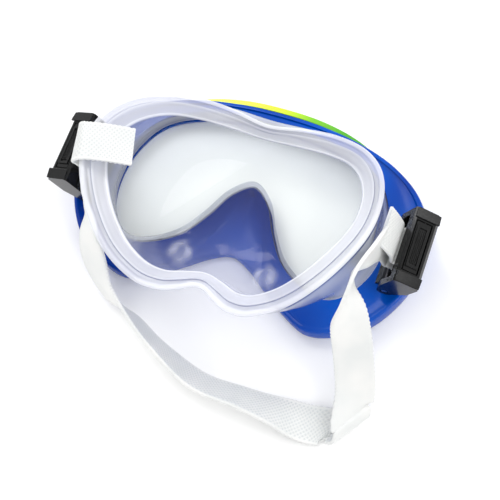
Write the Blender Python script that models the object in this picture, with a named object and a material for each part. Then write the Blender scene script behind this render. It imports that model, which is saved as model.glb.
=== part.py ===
"""Single-lens diving mask: blue frame, clear skirt with a nose pocket, white head strap, swivel buckles.

Metres, +Z up. The mask lies on its front: X runs across the face, +Y to the forehead, +Z to the face.
The origin is on the front plane, in the middle of the flat rib that covers the nose.
"""

import math

import bmesh
import bpy
import numpy as np
from mathutils import Matrix, Vector

MM = 0.001
GAP = 0.35  # clearance between separate pieces, mm

# Driving dimensions, in millimetres
SPAN_STEPS = 4  # stations from one outline point to the next, round the rims
LENS_FRONT = 2.5
LENS_THICK = 3.5
LENS_REBATE = 2.5  # how far the lens edge runs under the skirt
BEZEL_THICK = 2.1
BEZEL_REACH = 4.6  # the bezel's outer edge, from the sight line
FRAME_WALL = 2.2
EDGE_TOP = 10.6  # the frame's inner edge, which holds the skirt down on the lens
SKIRT_WALL = 2.0
BEAD_THICK = 1.7
TRIM_THICK = 3.0
TRIM_HALF_SPAN = 47.0
STRAP_WIDTH = 18.0
STRAP_THICK = 1.6

HINGE_X = 77.0  # buckle swivel axis, along Y
HINGE_Z = 17.0
BUCKLE_Y = -4.0  # middle of the buckle
BUCKLE_TILT = math.radians(66)  # from the XY plane to the buckle's length, at rest
BUCKLE_HALF = 18.5
CHEEK = 3.0
BUCKLE_TOP = 5.0
BUCKLE_FLOOR = -7.8
BUCKLE_LENGTH = 22.0
TIP_START = 16.0
HINGE_PIN_R = 1.5
KNUCKLE_R = 3.3
BRACKET_FOOT_Z = 14.2
ROLLER_S = 10.0
ROLLER_R = 3.0
ROLLER_PIN_R = 1.0
WRAP_R = ROLLER_R + GAP + STRAP_THICK / 2  # strap's middle line round the roller
LEVER_S = 19.4
LEVER_T = -1.8
LEVER_PIN_R = 0.75

# Half outlines from the middle of the brow, round the wearer's right side, to the middle of the nose
SIGHT_LINE = (
    (0, 45.5), (22, 44.5), (42, 40), (57, 31), (65.5, 16), (68, 0), (66, -14),
    (59, -26), (50, -31), (39, -28.5), (27, -20.5), (18.2, -8), (10.8, 5.5), (0, 13.2),
)
FRAME_LINE = (
    (0, 54), (22, 53), (44, 49), (64, 41), (80, 28), (90, 8), (88, -14),
    (77, -35), (62, -46), (47, -50), (33, -44), (21, -36), (10, -28), (0, -24),
)
# The flat land on the front of the nose cover, which the mask rests on
LAND = ((-3.2, -17), (3.2, -17), (3.2, 3.5), (-3.2, 3.5))
# z of the frame's face side: at its inner edge, above the bezel, half way from there to the rim, at the rim
FRAME_TOP = (
    (EDGE_TOP, 10.4, 10.2, 11.0), (EDGE_TOP, 10.4, 10.2, 11.0), (EDGE_TOP, 10.4, 10.2, 11.2),
    (EDGE_TOP, 10.5, 10.6, 12.0), (EDGE_TOP, 10.8, 11.4, 13.0), (EDGE_TOP, 11.0, 11.8, 13.5),
    (EDGE_TOP, 10.8, 11.6, 13.0), (EDGE_TOP, 10.5, 10.8, 12.0), (EDGE_TOP, 10.0, 10.0, 10.5),
    (EDGE_TOP, 9.0, 8.5, 8.5), (EDGE_TOP, 8.0, 6.2, 6.5), (EDGE_TOP, 7.2, 4.4, 5.0),
    (EDGE_TOP, 6.6, 3.4, 4.0), (EDGE_TOP, 6.0, 2.8, 3.6),
)
# The skirt's widest line, where it turns over against the face, and its free inner lip
FOLD_LINE = (
    (0, 37, 30.5), (18, 39.5, 31.5), (35, 38.5, 36), (51, 32, 44), (62.5, 19, 55),
    (68, 2, 63.5), (67, -17, 67), (57.5, -37, 64), (43.5, -53, 58), (28, -61, 52),
    (17, -61, 47), (9, -57.5, 44), (4, -54.5, 43), (0, -53.5, 43),
)
LIP_LINE = (
    (0, 32, 24.5), (17, 32.5, 25.5), (33, 31, 29.5), (46, 25.5, 37.5), (55, 14, 48),
    (59, 0, 56), (57.5, -14, 59), (49, -31, 58), (38, -44, 53), (27, -50.5, 48),
    (18, -51, 43), (10, -48, 40), (4, -46, 39), (0, -45.5, 39),
)
# How much higher the inner face is than the outer, which is the wall's thickness where it lies flat
FLOOR_RISE = ((0,),) * 8 + ((0.3,), (1.0,), (1.7,), (2,), (2,), (2,))
# Two lines up the skirt's wall. Over the nose they run out to the tip and back to the lip: the nose pocket
LOW_WALL = (
    (0, 45.5, 15), (21, 44.5, 15), (40.5, 39.8, 16), (55.5, 31, 17), (64.5, 16.5, 20), (67.3, 0, 22),
    (66, -15, 22), (59.5, -28, 22), (51, -36, 20), (40, -37, 18), (27.5, -33, 14), (19, -30, 12),
    (9.5, -29.5, 11.2), (0, -29, 11),
)
HIGH_WALL = (
    (0, 43, 23), (20, 43.5, 23.5), (38, 39.8, 26), (53.5, 31.5, 31), (63.5, 17.5, 38), (67.6, 1, 43),
    (67, -16, 45), (59, -33, 44), (48, -46, 39), (35, -51, 34), (24, -50.5, 29), (15.5, -48, 24),
    (7.5, -45.5, 21), (0, -44.5, 20),
)

# The strap, a piece at a time: points on its middle line, each with the direction of its width.
# The slant that orient reads is 0 where a width doesn't state one
RIGHT_TAIL = (
    ((71.8, -5.0, 55.0), (0, 1, 0.1)), ((74.5, -4.5, 47.5), (0, 1, 0.05)), ((76.9, -4.0, 39.0), (0, 1, 0)),
)
RIGHT_FALL = (
    ((72.7, -5.5, 36), (0.05, 1, 0.1)), ((72.0, -11, 48), (0.1, 0.85, 0.5)),
    ((70.2, -20, 58), (0.13, 0.35, 0.92)), ((66.4, -30, 61), (0.18, -0.1, 0.95)),
    ((65.9, -39, 55.5), (-0.05, -0.4, 0.85)), ((68.9, -47.5, 45), (-0.72, -0.32, 0.6)),
    ((73.4, -57, 30), (-0.93, -0.33, 0.2)), ((78.5, -70, 16), (-0.93, -0.36, 0.05)),
)
LOOP = (
    ((61, -89.8, 2.4), (0, -1, 0.05)), ((44.4, -89.5, 6.5), (0, -0.81, 0.59)),
    ((28, -89, 7.8), (0, -0.66, 0.75)), ((6.5, -88, 8.3), (-0.12, -0.58, 0.81)),
    ((-17.5, -78.5, 9.4), (-0.19, -0.32, 0.93)), ((-34.9, -68.7, 10.2), (-0.1, -0.16, 0.98)),
    ((-49.2, -61.8, 13), (0.19, 0.22, 0.95)), ((-58.3, -51.7, 20), (0.58, 0.26, 0.77)),
    ((-62, -43.5, 27.5), (0.56, 0.2, 0.79)), ((-62.8, -35.5, 36.5), (0.4, 0, 0.9)),
    ((-67.3, -27, 45), (0.2, -0.05, 0.97)), ((-70.8, -17, 47.5), (0.1, 0.5, 0.86)),
    ((-72.3, -9, 42), (0.06, 0.93, 0.35)), ((-72.6, -5, 34), (0.03, 1, 0.05)),
)
LEFT_TAIL = (
    ((-76.6, -5.0, 39.0), (0, 1, 0)), ((-75.0, -8.0, 51.0), (-0.1, 1, 0)), ((-72.6, -11.2, 62.5), (-0.2, 1, 0)),
    ((-67.0, -12.0, 69.8), (-0.3, 1, 0.05)), ((-58.0, -9.0, 67.2), (-0.28, 1, 0.05)),
    ((-46.5, -5.6, 62.5), (-0.2, 1, 0)),
)
CORNER = (80.0, -80.5)  # where the strap rolls over on itself at the wearer's right
CORNER_R = 4.2
CORNER_AXIS = (-0.58, -0.81)
CORNER_LEAD = 0.6  # advance along the roll's axis per unit of arc
CORNER_LOW = 0.5  # the roll's lowest point


def clear_scene():
    for obj in list(bpy.data.objects):
        bpy.data.objects.remove(obj, do_unlink=True)


def material(name, colour, roughness, metallic=0.0, transmission=0.0):
    made = bpy.data.materials.new(name)
    made.use_nodes = True
    shader = made.node_tree.nodes["Principled BSDF"]
    shader.inputs["Base Color"].default_value = (*colour, 1.0)
    shader.inputs["Roughness"].default_value = roughness
    shader.inputs["Metallic"].default_value = metallic
    shader.inputs["Transmission Weight"].default_value = transmission
    return made


def add(name, mesh_or_bm, finish, smooth_angle=35):
    """Links a mesh, or a bmesh in millimetres, as one named object."""
    mesh = mesh_or_bm
    if isinstance(mesh_or_bm, bmesh.types.BMesh):
        bmesh.ops.recalc_face_normals(mesh_or_bm, faces=mesh_or_bm.faces)
        mesh = bpy.data.meshes.new(name)
        mesh_or_bm.to_mesh(mesh)
        mesh_or_bm.free()
        mesh.transform(Matrix.Scale(MM, 4))
    mesh.shade_smooth()
    mesh.set_sharp_from_angle(angle=math.radians(smooth_angle))
    obj = bpy.data.objects.new(name, mesh)
    mesh.materials.append(finish)
    bpy.context.scene.collection.objects.link(obj)
    return obj


def cutter(name, bm):
    obj = add(name, bm, bpy.data.materials["cutter"])
    obj.hide_render = True
    obj.display_type = "WIRE"
    return obj


def cut(obj, tool, operation="DIFFERENCE"):
    modifier = obj.modifiers.new(tool.name, "BOOLEAN")
    modifier.object = tool
    modifier.operation = operation
    modifier.solver = "EXACT"


# Curves


def catmull(points, steps, closed=False):
    """A smooth curve through points, with a number of steps between neighbours."""
    pts = np.array(points, float)
    count = len(pts)
    spans = count if closed else count - 1
    out = []
    for i in range(spans):
        if closed:
            a, b, c, d = (pts[(i + k) % count] for k in (-1, 0, 1, 2))
        else:
            b, c = pts[i], pts[i + 1]
            a = pts[i - 1] if i else 2 * b - c
            d = pts[i + 2] if i + 2 < count else 2 * c - b
        for j in range(steps):
            t = j / steps
            out.append(
                0.5 * (2 * b + (c - a) * t + (2 * a - 5 * b + 4 * c - d) * t**2
                       + (3 * b - a - 3 * c + d) * t**3)
            )
    if not closed:
        out.append(pts[-1])
    return np.array(out)


def rim(half):
    """The whole closed line from half of one, mirrored in X."""
    half = np.array(half, float)
    mirror = half[-2:0:-1] * [-1, *[1] * (half.shape[1] - 1)]
    return catmull(np.vstack([half, mirror]), SPAN_STEPS, closed=True)


def profile_values(rows):
    """Heights along a rim, from values given at the same places as the outlines."""
    half = np.array(rows, float)
    return catmull(np.vstack([half, half[-2:0:-1]]), SPAN_STEPS, closed=True)


def offset(line, distance):
    """A closed plan line moved outwards by a distance."""
    along = np.roll(line[:, :2], -1, axis=0) - np.roll(line[:, :2], 1, axis=0)
    along /= np.linalg.norm(along, axis=1)[:, None]
    return line[:, :2] + distance * np.column_stack([-along[:, 1], along[:, 0]])


def at(plan, z):
    return np.column_stack([plan, np.broadcast_to(z, len(plan))])


# Solids


def ring(sections):
    """A closed band: sections is a list of closed lines, one for each corner of the band's section."""
    bm = bmesh.new()
    rows = [[bm.verts.new(p) for p in line] for line in sections]
    for row, after in zip(rows, rows[1:] + rows[:1]):
        for i in range(len(row)):
            j = (i + 1) % len(row)
            bm.faces.new((row[i], row[j], after[j], after[i]))
    return bm


def plate(outline, low, high):
    """A flat plate with a closed outline."""
    bm = bmesh.new()
    bottom = bm.faces.new([bm.verts.new((x, y, low)) for x, y in outline])
    made = bmesh.ops.extrude_face_region(bm, geom=[bottom])
    moved = [v for v in made["geom"] if isinstance(v, bmesh.types.BMVert)]
    bmesh.ops.translate(bm, verts=moved, vec=(0, 0, high - low))
    return bm


def strip(sections):
    """A bar with closed ends: sections holds one ring of corners for each place along it."""
    bm = bmesh.new()
    rows = [[bm.verts.new(p) for p in corners] for corners in sections]
    for row, after in zip(rows, rows[1:]):
        for i in range(len(row)):
            j = (i + 1) % len(row)
            bm.faces.new((row[i], row[j], after[j], after[i]))
    bm.faces.new(rows[0])
    bm.faces.new(rows[-1])
    return bm


def cylinder(radius, low, high, s, t, sides=24):
    """A round bar along Y, in a buckle's own directions."""
    bm = bmesh.new()
    bmesh.ops.create_cone(
        bm, cap_ends=True, segments=sides, radius1=radius, radius2=radius, depth=high - low,
        matrix=Matrix.Translation((s, (low + high) / 2, t)) @ Matrix.Rotation(math.radians(90), 4, "X"),
    )
    return bm


def bar(outline, low, high):
    """A flat profile in a buckle's length and thickness, extruded along Y."""
    bm = bmesh.new()
    face = bm.faces.new([bm.verts.new((s, low, t)) for s, t in outline])
    made = bmesh.ops.extrude_face_region(bm, geom=[face])
    moved = [v for v in made["geom"] if isinstance(v, bmesh.types.BMVert)]
    bmesh.ops.translate(bm, verts=moved, vec=(0, high - low, 0))
    return bm


def box(s, y, t):
    return bar([(s[0], t[0]), (s[1], t[0]), (s[1], t[1]), (s[0], t[1])], *y)


# The mask body


def frame_piece(finish):
    sight = rim(SIGHT_LINE)
    inner = offset(sight, LENS_REBATE - 0.3)
    shoulder = offset(sight, BEZEL_REACH + 0.6)
    outer = rim(FRAME_LINE)
    inset = offset(outer, -FRAME_WALL)
    edge, near, far, rim_top = profile_values(FRAME_TOP).T
    share = profile_values([(0.5,)] * 10 + [(0.48,), (0.44,), (0.38,), (0.34,)])
    middle = shoulder * (1 - share) + outer[:, :2] * share
    sections = (
        at(inner, edge),
        at(shoulder, near),
        at(middle, far),
        at(offset(outer, -1.2), rim_top),
        at(outer, rim_top - 0.9),
        at(outer, 0.7),
        at(offset(outer, -0.7), 0),
        at(inset, 0),
        at(inset, rim_top - FRAME_WALL - 0.6),
        at(middle, far - FRAME_WALL),
        at(shoulder, near - FRAME_WALL),
        at(inner, edge - FRAME_WALL),
    )
    frame = add("frame", ring(sections), finish)
    cut(frame, cutter("front_land", plate(LAND, 0.0, 1.7)), "UNION")
    return frame


def lens_piece(finish):
    outline = offset(rim(SIGHT_LINE), LENS_REBATE)
    return add("lens", plate(outline, LENS_FRONT, LENS_FRONT + LENS_THICK), finish)


def bezel_piece(finish):
    sight = rim(SIGHT_LINE)
    inner = offset(sight, -0.3)
    outer = offset(sight, BEZEL_REACH)
    sections = (
        at(inner, 0.8),
        at(offset(sight, 0.6), 0.0),
        at(offset(outer, -0.6), 0.0),
        at(outer, 0.6),
        at(outer, BEZEL_THICK),
        at(inner, BEZEL_THICK),
    )
    return add("front_bezel", ring(sections), finish)


def skirt_piece(finish):
    sight = rim(SIGHT_LINE)
    low = rim(LOW_WALL)
    high = rim(HIGH_WALL)
    fold = rim(FOLD_LINE)
    lip = rim(LIP_LINE)
    base = LENS_FRONT + LENS_THICK + GAP
    bead = base + BEAD_THICK

    def inside(line, distance, drop=0.0):
        return np.column_stack([offset(line, -distance), line[:, 2] - drop])

    under = inside(fold, 3.5, 2.2)
    rise = profile_values(FLOOR_RISE)[:, 0]
    sections = (
        at(offset(sight, LENS_REBATE), base),
        at(offset(sight, LENS_REBATE), bead - 0.8),
        at(offset(sight, LENS_REBATE - 0.8), bead),
        at(offset(sight, LENS_REBATE - 0.9), EDGE_TOP + GAP),
        low,
        high,
        inside(fold, 0.0, 1.4),
        inside(fold, 1.0, 0.0),
        lip * 0.5 + inside(fold, 0.0, -0.6) * 0.5,
        lip,
        lip + [0, 0, -1.2],
        lip * 0.5 + under * 0.5 + [0, 0, -0.8],
        under,
        inside(high, SKIRT_WALL),
        inside(low, SKIRT_WALL, -rise),
        at(offset(sight, -0.2), EDGE_TOP + GAP + rise),
        at(offset(sight, 0), bead),
        at(offset(sight, 0), base),
    )
    return add("skirt", ring(sections), finish)


def brow_trim_piece(finish):
    """A strip that hugs the brow, tapering to nothing at its ends."""
    outer = rim(FRAME_LINE)
    near = offset(outer, GAP)
    far = offset(outer, GAP + TRIM_THICK)
    order = sorted(
        (i for i in range(len(outer)) if abs(outer[i, 0]) <= TRIM_HALF_SPAN and outer[i, 1] > 0),
        key=lambda i: outer[i, 0],
    )
    rows = []
    for i in order:
        share = abs(outer[i, 0]) / TRIM_HALF_SPAN
        low, high = 1.2 + 2.4 * share**2, 9.8 - 2.2 * share**2
        out = near[i] + (far[i] - near[i]) * (1 - 0.75 * share**3)
        edge = near[i] * 0.35 + out * 0.65
        rows.append([
            (*near[i], low), (*edge, low), (*out, low + 0.8),
            (*out, high - 0.8), (*edge, high), (*near[i], high),
        ])
    return add("brow_trim", strip(rows), finish)


# The strap


def orient(centres, widths):
    """The corners of a flat strap along a line. Each width is x, y, z and its slant.

    At slant 0 the width is turned square to the run, and at 1 it keeps its direction, as where the strap rolls.
    """
    run = np.gradient(centres, axis=0)
    run /= np.linalg.norm(run, axis=1)[:, None]
    along = run * np.sum(run * widths[:, :3], axis=1)[:, None]
    across = widths[:, :3] - along
    size = np.linalg.norm(across, axis=1)[:, None]
    through = np.cross(run, across / size)
    w = (across + along * widths[:, 3:]) / size * STRAP_WIDTH / 2
    h = through * STRAP_THICK / 2
    return np.stack([centres + w + h, centres - w + h, centres - w - h, centres + w - h], axis=1)


def buckle_point(s, t, side):
    run, rise = math.cos(BUCKLE_TILT), math.sin(BUCKLE_TILT)
    return (side * (HINGE_X + s * run - t * rise), BUCKLE_Y, HINGE_Z + s * rise + t * run)


def wrap(side, start, end):
    """The strap's turn round a roller, by angles in the buckle's length and thickness, with straight ends."""
    angles = np.radians(np.linspace(start, end, 9))
    turn = [(ROLLER_S + WRAP_R * math.cos(a), WRAP_R * math.sin(a)) for a in angles]
    lead_in = [(turn[0][0], t) for t in (6.0, 4.0, 2.0)]
    lead_out = [(turn[-1][0], t) for t in (2.0, 4.0, 6.0)]
    return [(buckle_point(s, t, side), (0, 1, 0)) for s, t in lead_in + turn + lead_out]


def corner():
    """The strap rolled half a turn on a slanting axis, where it changes direction on the floor."""
    axis = Vector((*CORNER_AXIS, 0)).normalized()
    side = Vector((-axis.y, axis.x, 0))
    middle = Vector((*CORNER, CORNER_R + STRAP_THICK / 2 + CORNER_LOW))
    points = []
    for angle in np.linspace(0, math.pi, 7):
        out = Vector((0, 0, math.cos(angle))) + side * math.sin(angle)
        centre = middle + out * CORNER_R + axis * (CORNER_LEAD * CORNER_R * angle)
        points.append((tuple(centre), (*axis, 1)))
    return points


def strap_piece(finish):
    stations = [
        *RIGHT_TAIL, *wrap(1, 0, -180), *RIGHT_FALL, *corner(), *LOOP, *wrap(-1, 180, 360), *LEFT_TAIL,
    ]
    centres = catmull([p for p, _ in stations], 2)
    widths = catmull([(*w, 0)[:4] for _, w in stations], 2)
    return add("strap", strip(orient(centres, widths)), finish, 60)


# The buckles, made for the wearer's right and mirrored for the left


def cheek_outline():
    """The side plate: round at the hinge, then the depth of the buckle."""
    knuckle = [
        (-3.6 * math.cos(a), 3.6 * math.sin(a)) for a in np.radians(np.linspace(-60, 70, 9))
    ]
    return [(5.5, BUCKLE_FLOOR + 1.5), *knuckle, (5.5, BUCKLE_TOP), (BUCKLE_LENGTH - 1.2, BUCKLE_TOP),
            (BUCKLE_LENGTH, BUCKLE_TOP - 1.2), (BUCKLE_LENGTH, BUCKLE_FLOOR + 1.8),
            (BUCKLE_LENGTH - 1.8, BUCKLE_FLOOR), (8.5, BUCKLE_FLOOR)]


def buckle_body(side, finish):
    inner = BUCKLE_HALF - CHEEK
    body = bar(cheek_outline(), -BUCKLE_HALF, BUCKLE_HALF)
    obj = add(f"{side}_buckle_body", body, finish)
    tools = {
        "strap_way": box((-6, TIP_START), (-inner, inner), (BUCKLE_FLOOR + 1.6, BUCKLE_TOP + 3)),
        "hinge_gap": box((-6, 6.2), (-inner, inner), (BUCKLE_FLOOR - 3, BUCKLE_TOP + 3)),
        "pin_hole": cylinder(HINGE_PIN_R + GAP, -BUCKLE_HALF - 1, BUCKLE_HALF + 1, 0, 0),
        "roller_hole": cylinder(ROLLER_PIN_R + GAP, -BUCKLE_HALF + 1.2, BUCKLE_HALF - 1.2, ROLLER_S, 0, 16),
        "lever_pocket": box((LEVER_S - 2.2, BUCKLE_LENGTH + 2), (-12.5, 12.5), (-4.8, 3.4)),
        "lever_hole": cylinder(LEVER_PIN_R + GAP, -14.6, 14.6, LEVER_S, LEVER_T, 16),
    }
    for name, bm in tools.items():
        cut(obj, cutter(f"{side}_{name}", bm))
    return obj


def buckle_roller(side, finish):
    """A ribbed roller with a bore for its pin."""
    half = BUCKLE_HALF - CHEEK - GAP - 0.15
    ribs = 16
    profile = []
    for i in range(2 * ribs):
        radius = ROLLER_R if i % 2 else ROLLER_R - 0.35
        angle = math.pi * i / ribs
        profile.append((radius * math.cos(angle), radius * math.sin(angle)))
    hole = ROLLER_PIN_R + GAP
    turns = [math.pi * i / ribs for i in range(2 * ribs)]
    bore = [(hole * math.cos(angle), hole * math.sin(angle)) for angle in turns]
    lines = []
    for outline, y in ((profile, -half), (profile, half), (bore, half), (bore, -half)):
        lines.append([(ROLLER_S + s, y, t) for s, t in outline])
    return add(f"{side}_strap_roller", ring(lines), finish, 50)


def release_lever(side, finish):
    """The push button in the buckle's tip, with gripping ribs along it, on its own pin."""
    face = BUCKLE_LENGTH + 0.4
    low, high = -4.2, 2.8
    outline = [(LEVER_S - 1.3, low + 0.6), (LEVER_S + 0.6, low), (face - 1.2, low)]
    ribs = 4
    step = (high - low) / ribs
    for i in range(ribs):
        outline += [(face - 0.7, low + (i + 0.12) * step), (face, low + (i + 0.3) * step),
                    (face, low + (i + 0.7) * step), (face - 0.7, low + (i + 0.88) * step)]
    outline += [(LEVER_S - 0.6, high), (LEVER_S - 1.3, high - 0.8)]
    obj = add(f"{side}_release_lever", bar(outline, -12.1, 12.1), finish)
    cut(obj, cutter(f"{side}_lever_bore", cylinder(LEVER_PIN_R + GAP, -14, 14, LEVER_S, LEVER_T, 16)))
    return obj


def lever_spring(side, finish):
    """A bowed leaf between the pocket's floor and the lever."""
    thick, wide, middle = 0.22, 1.8, 1.1
    rows = []
    for angle in np.linspace(-math.pi, math.pi, 9):
        s, y = LEVER_S - 1.72 + 0.18 * math.cos(angle), 9 * angle / math.pi
        near, far = s - thick / 2, s + thick / 2
        low, high = middle - wide / 2, middle + wide / 2
        rows.append([(near, y, low), (far, y, low), (far, y, high), (near, y, high)])
    return add(f"{side}_lever_spring", strip(rows), finish)


def hinge_bracket(side, finish):
    """The foot on the frame's wing, with the knuckle that the buckle swings on."""
    half = BUCKLE_HALF - CHEEK - GAP
    foot = BRACKET_FOOT_Z - HINGE_Z
    outline = [(-5.5, foot), (5.5, foot), (3.2, 0.9)]
    outline += [(KNUCKLE_R * math.cos(a), KNUCKLE_R * math.sin(a)) for a in np.radians(np.linspace(30, 150, 7))]
    outline += [(-3.2, 0.9)]
    obj = add(f"{side}_hinge_bracket", bar(outline, -half, half), finish)
    cut(obj, cutter(f"{side}_knuckle_bore", cylinder(HINGE_PIN_R + GAP, -20, 20, 0, 0)))
    return obj


def pins(side, finish):
    ends = {
        "hinge_pin": (HINGE_PIN_R, BUCKLE_HALF - 0.2, 0, 0, 24),
        "roller_pin": (ROLLER_PIN_R, BUCKLE_HALF - 1.6, ROLLER_S, 0, 16),
        "lever_pin": (LEVER_PIN_R, 14.2, LEVER_S, LEVER_T, 16),
    }
    return [
        add(f"{side}_{name}", cylinder(radius, -half, half, s, t, sides), finish)
        for name, (radius, half, s, t, sides) in ends.items()
    ]


def place(objects, sign, tilt):
    """Parents the pieces of one buckle to an empty on its swivel axis."""
    hinge = bpy.data.objects.new("hinge_axis", None)
    hinge.location = (sign * HINGE_X * MM, BUCKLE_Y * MM, HINGE_Z * MM)
    bpy.context.scene.collection.objects.link(hinge)
    for obj in objects:
        if sign < 0:
            obj.data.transform(Matrix.Scale(-1, 4, (1, 0, 0)))
            obj.data.flip_normals()
        for modifier in obj.modifiers:
            place([modifier.object], sign, tilt)
        obj.parent = hinge
    hinge.rotation_euler = (0, -sign * tilt, 0)


def main():
    clear_scene()
    material("cutter", (1, 0, 0), 0.5)
    blue = material("blue_plastic", (0.003, 0.05, 0.6), 0.2)
    lime = material("lime_plastic", (0.55, 0.8, 0.02), 0.3)
    clear = material("clear_soft_plastic", (0.85, 0.86, 0.95), 0.15, transmission=0.9)
    glass = material("tempered_glass", (0.9, 0.95, 0.93), 0.02, transmission=1.0)
    white = material("white_soft_plastic", (0.85, 0.85, 0.85), 0.45)
    black = material("black_plastic", (0.01, 0.01, 0.01), 0.3)
    steel = material("stainless_steel", (0.6, 0.6, 0.62), 0.25, metallic=1.0)
    frame_piece(blue)
    bezel_piece(blue)
    lens_piece(glass)
    skirt_piece(clear)
    brow_trim_piece(lime)
    strap_piece(white)
    for side, sign in (("left", -1), ("right", 1)):
        place([hinge_bracket(side, black)], sign, 0)
        place(
            [
                buckle_body(side, black), buckle_roller(side, black), release_lever(side, black),
                lever_spring(side, steel), *pins(side, steel),
            ],
            sign, BUCKLE_TILT,
        )


main()
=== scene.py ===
import math

import bmesh
import bpy
import numpy as np
from mathutils import Matrix, Vector


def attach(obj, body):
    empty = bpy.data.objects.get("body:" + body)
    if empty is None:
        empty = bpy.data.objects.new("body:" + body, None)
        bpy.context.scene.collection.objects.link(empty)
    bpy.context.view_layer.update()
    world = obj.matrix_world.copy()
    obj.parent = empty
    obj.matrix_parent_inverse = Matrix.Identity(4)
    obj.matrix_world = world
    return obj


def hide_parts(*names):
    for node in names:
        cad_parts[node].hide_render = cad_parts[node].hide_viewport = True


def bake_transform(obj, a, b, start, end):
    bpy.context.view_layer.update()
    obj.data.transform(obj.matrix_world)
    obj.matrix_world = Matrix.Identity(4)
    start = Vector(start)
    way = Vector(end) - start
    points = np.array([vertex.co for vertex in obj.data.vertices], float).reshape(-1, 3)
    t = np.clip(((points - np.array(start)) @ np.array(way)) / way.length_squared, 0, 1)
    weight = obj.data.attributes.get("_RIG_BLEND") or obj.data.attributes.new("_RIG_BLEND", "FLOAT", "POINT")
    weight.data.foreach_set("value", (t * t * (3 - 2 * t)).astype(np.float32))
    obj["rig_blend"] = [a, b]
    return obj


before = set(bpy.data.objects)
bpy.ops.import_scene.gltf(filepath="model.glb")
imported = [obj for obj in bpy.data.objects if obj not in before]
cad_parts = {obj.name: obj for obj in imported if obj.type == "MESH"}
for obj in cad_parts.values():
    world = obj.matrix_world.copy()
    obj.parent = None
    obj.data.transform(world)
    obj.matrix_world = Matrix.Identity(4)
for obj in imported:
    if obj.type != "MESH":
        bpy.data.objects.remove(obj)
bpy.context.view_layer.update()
mm = 0.001

# Above the mask, on the wearer's right and below the nose, rolled so that the brow slopes
view = {
    "azimuth": 35.645,
    "elevation": 69.207,
    "roll": -16.892,
    "eye": (112.0, -155.8, 464.0),
    "lens": 71.94,
    "shift": (-0.0164, -0.0133),
}


def addCamera():
    turn, rise, roll = (math.radians(view[key]) for key in ("azimuth", "elevation", "roll"))
    back = Vector((math.sin(turn) * math.cos(rise), -math.cos(turn) * math.cos(rise), math.sin(rise)))
    right = Vector((math.cos(turn), math.sin(turn), 0))
    up = back.cross(right)
    axes = (right * math.cos(roll) + up * math.sin(roll), up * math.cos(roll) - right * math.sin(roll), back)
    camera = bpy.data.objects.new("camera", bpy.data.cameras.new("camera"))
    bpy.context.scene.collection.objects.link(camera)
    camera.matrix_world = Matrix.Translation(Vector(view["eye"]) * mm) @ Matrix(axes).transposed().to_4x4()
    camera.data.lens = view["lens"]
    camera.data.shift_x, camera.data.shift_y = view["shift"]
    bpy.context.scene.camera = camera


addCamera()
print("camera placed")


# Colours and nodes


def linear(hexColour, alpha=1.0):
    # sRGB hex to the linear values that a shader takes
    channels = [int(hexColour[i:i + 2], 16) / 255 for i in (0, 2, 4)]
    return (*[c / 12.92 if c <= 0.04045 else ((c + 0.055) / 1.055) ** 2.4 for c in channels], alpha)


def addNode(tree, kind, inputs=None, **settings):
    node = tree.nodes.new(kind)
    for key, value in settings.items():
        setattr(node, key, value)
    for name, value in (inputs or {}).items():
        if isinstance(value, bpy.types.NodeSocket):
            tree.links.new(value, node.inputs[name])
        else:
            node.inputs[name].default_value = value
    return node


def newMaterial(name, **sockets):
    # a Principled material: its tree, its shader and its own coordinates in millimetres
    made = bpy.data.materials.new(name)
    made.use_nodes = True
    tree = made.node_tree
    shader = tree.nodes["Principled BSDF"]
    for socket, value in sockets.items():
        shader.inputs[socket.replace("_", " ")].default_value = value
    own = addNode(tree, "ShaderNodeTexCoord").outputs["Object"]
    place = addNode(tree, "ShaderNodeMapping", {"Vector": own, "Scale": (1000, 1000, 1000)})
    return made, tree, shader, place.outputs["Vector"]


def colourRamp(tree, fac, stops):
    ramp = addNode(tree, "ShaderNodeValToRGB", {"Fac": fac})
    elements = ramp.color_ramp.elements
    elements[0].position, elements[1].position = stops[0][0], stops[-1][0]
    elements[0].color, elements[1].color = linear(stops[0][1]), linear(stops[-1][1])
    for position, colour in stops[1:-1]:
        elements.new(position).color = linear(colour)
    return ramp.outputs["Color"]


def mixColour(tree, fac, first, second):
    # 6, 7 and the output 2 are the mix node's colour sockets
    mixed = addNode(tree, "ShaderNodeMix", {"Factor": fac, 6: first, 7: second}, data_type="RGBA")
    return mixed.outputs[2]


def addNoise(tree, place, scale, detail):
    noise = addNode(tree, "ShaderNodeTexNoise", {"Vector": place, "Scale": scale, "Detail": detail})
    return noise.outputs["Fac"]


def spreadRoughness(tree, shader, fac, limits):
    spread = addNode(tree, "ShaderNodeMapRange", {"Value": fac, "To Min": limits[0], "To Max": limits[1]})
    tree.links.new(spread.outputs["Result"], shader.inputs["Roughness"])


def addGrain(tree, shader, place, size, depth, roughness=None):
    # a moulded skin: fine bumps of one size in mm, and a roughness that wanders between two values
    noise = addNoise(tree, place, 1 / size, 3.0)
    bump = addNode(tree, "ShaderNodeBump", {"Height": noise, "Strength": 0.25, "Distance": depth * mm})
    tree.links.new(bump.outputs["Normal"], shader.inputs["Normal"])
    if roughness:
        spreadRoughness(tree, shader, addNoise(tree, place, 0.06, 2.0), roughness)


def glossyAbs():
    # injection-moulded ABS: mirror-polished tool, so it shows sharp lights over a deep, even colour
    made, tree, shader, place = newMaterial("glossyBlueAbs", IOR=1.54, Specular_IOR_Level=0.2)
    tone = addNoise(tree, place, 0.02, 1.0)
    colour = colourRamp(tree, tone, [(0.3, "002a8a"), (0.7, "0052bc")])
    tree.links.new(colour, shader.inputs["Base Color"])
    addGrain(tree, shader, place, 0.8, 0.02, (0.1, 0.2))
    return made


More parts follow.
